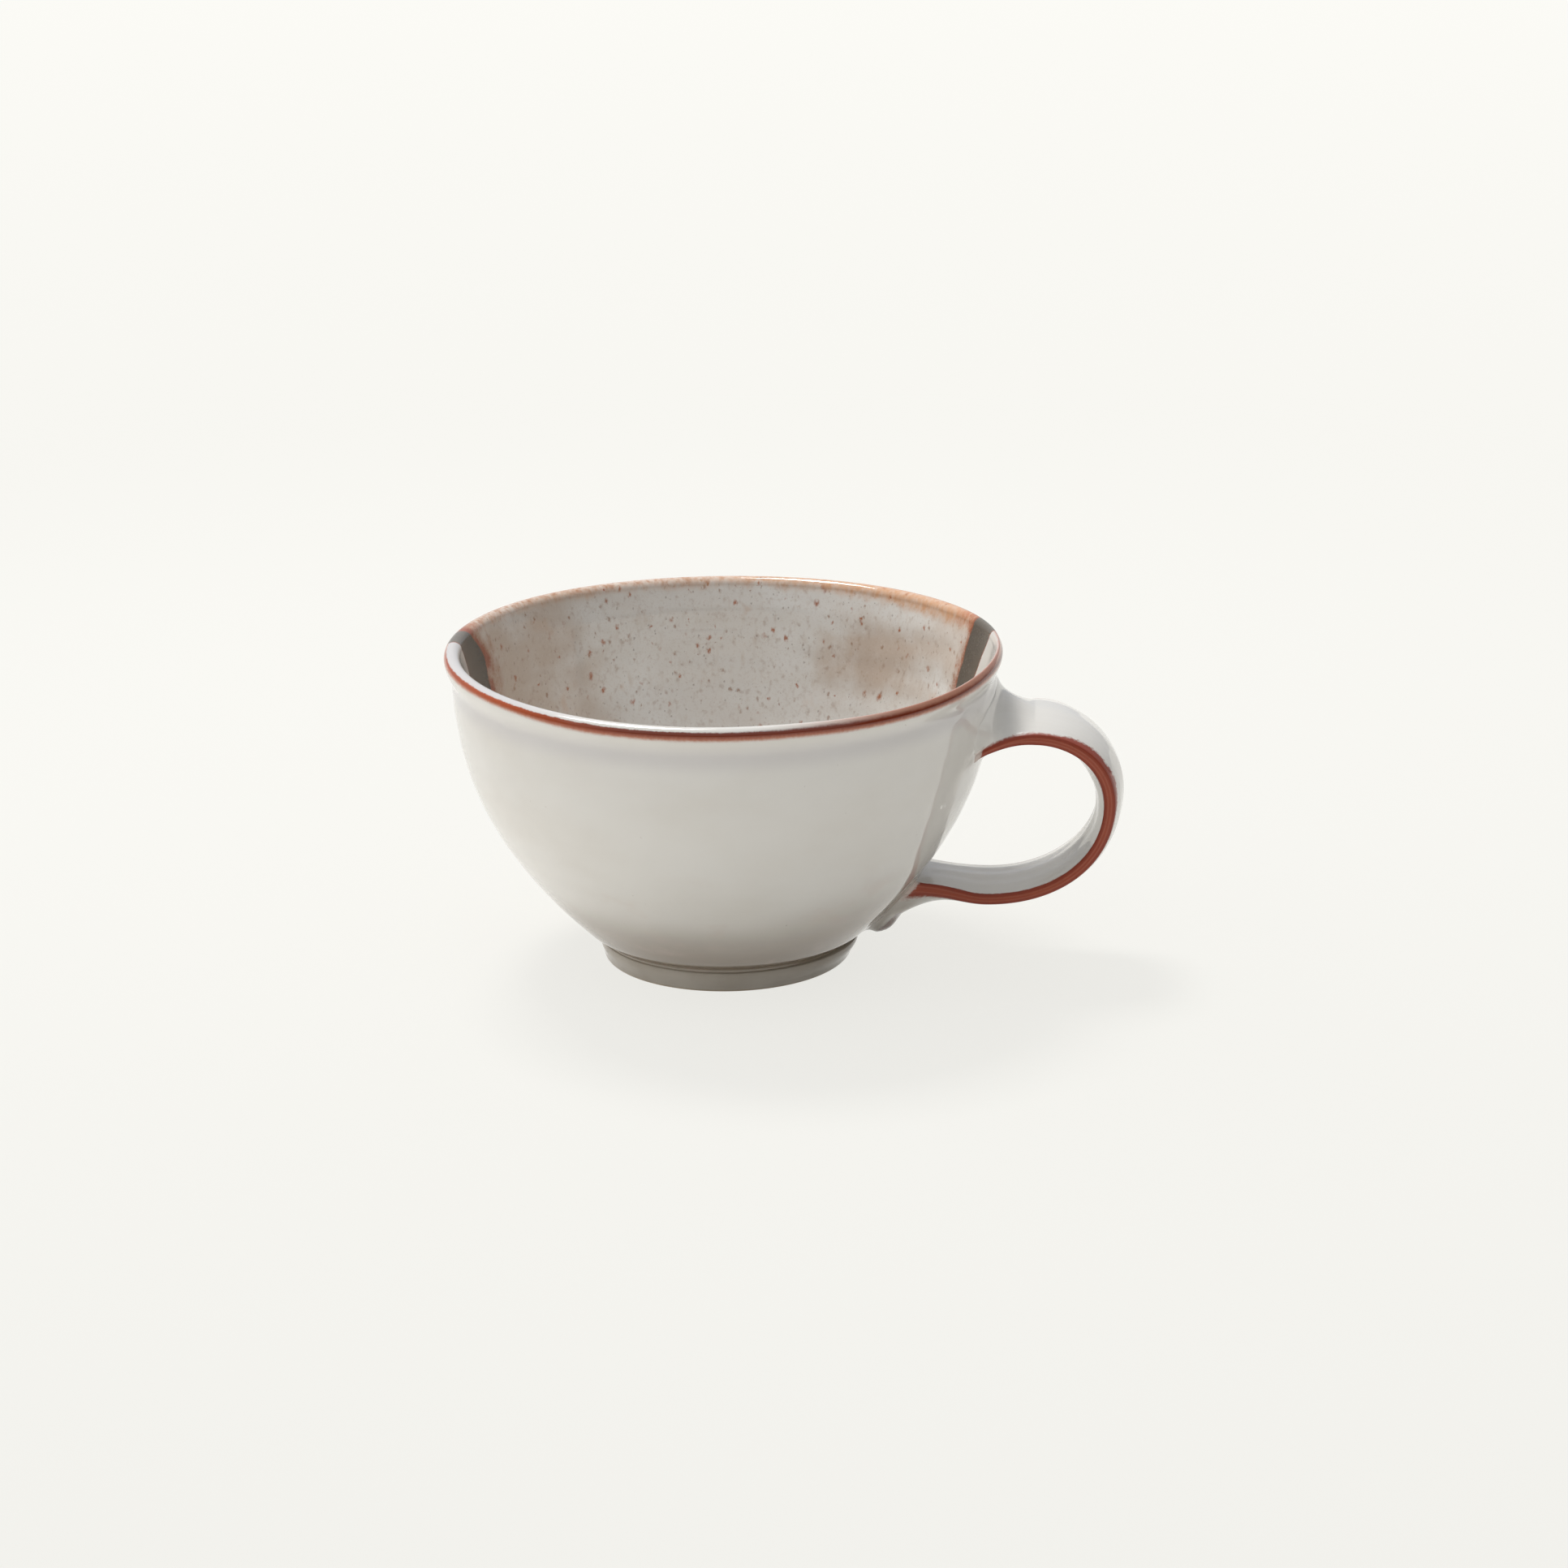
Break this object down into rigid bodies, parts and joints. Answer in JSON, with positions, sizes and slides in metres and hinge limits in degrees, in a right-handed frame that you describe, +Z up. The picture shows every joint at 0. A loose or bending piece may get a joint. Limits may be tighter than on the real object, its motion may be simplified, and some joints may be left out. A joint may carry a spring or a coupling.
{
  "type": "cappuccino cup",
  "caption": "Wide round stoneware cup on a low foot ring, with a pulled strap handle and a two-tone glaze split by a dark band, for holding a hot drink.",
  "frame": {"origin": "centre of the foot ring's bearing face, on the bowl's axis", "axes": "+Z up along the bowl's axis, +X towards the handle, the white-glazed front faces -Y"},
  "size_m": [0.1342, 0.11, 0.0643],
  "materials": {
    "stoneware": "bare fired clay, matte, faintly speckled",
    "slip": "bare fired clay, matte, hidden under the handle's roots",
    "white_glaze": "glossy grey-white glaze, warmer where it pools",
    "speckled_glaze": "glossy grey glaze with brown and rust-coloured iron specks",
    "dark_glaze": "glossy dark grey-brown glaze with rust-coloured borders",
    "rust_glaze": "glossy rust-red glaze where the coat runs thin over an edge"
  },
  "bodies": {
    "root": {"bowl": "stoneware", "foot_ring": "stoneware", "handle_strap": "white_glaze", "upper_root": "white_glaze", "lower_root": "white_glaze", "upper_slip": "slip", "lower_slip": "slip", "front_glaze": "white_glaze", "rear_glaze": "speckled_glaze", "dark_band": "dark_glaze", "lip_line": "rust_glaze", "edge_lines": "rust_glaze"}
  },
  "joints": []
}
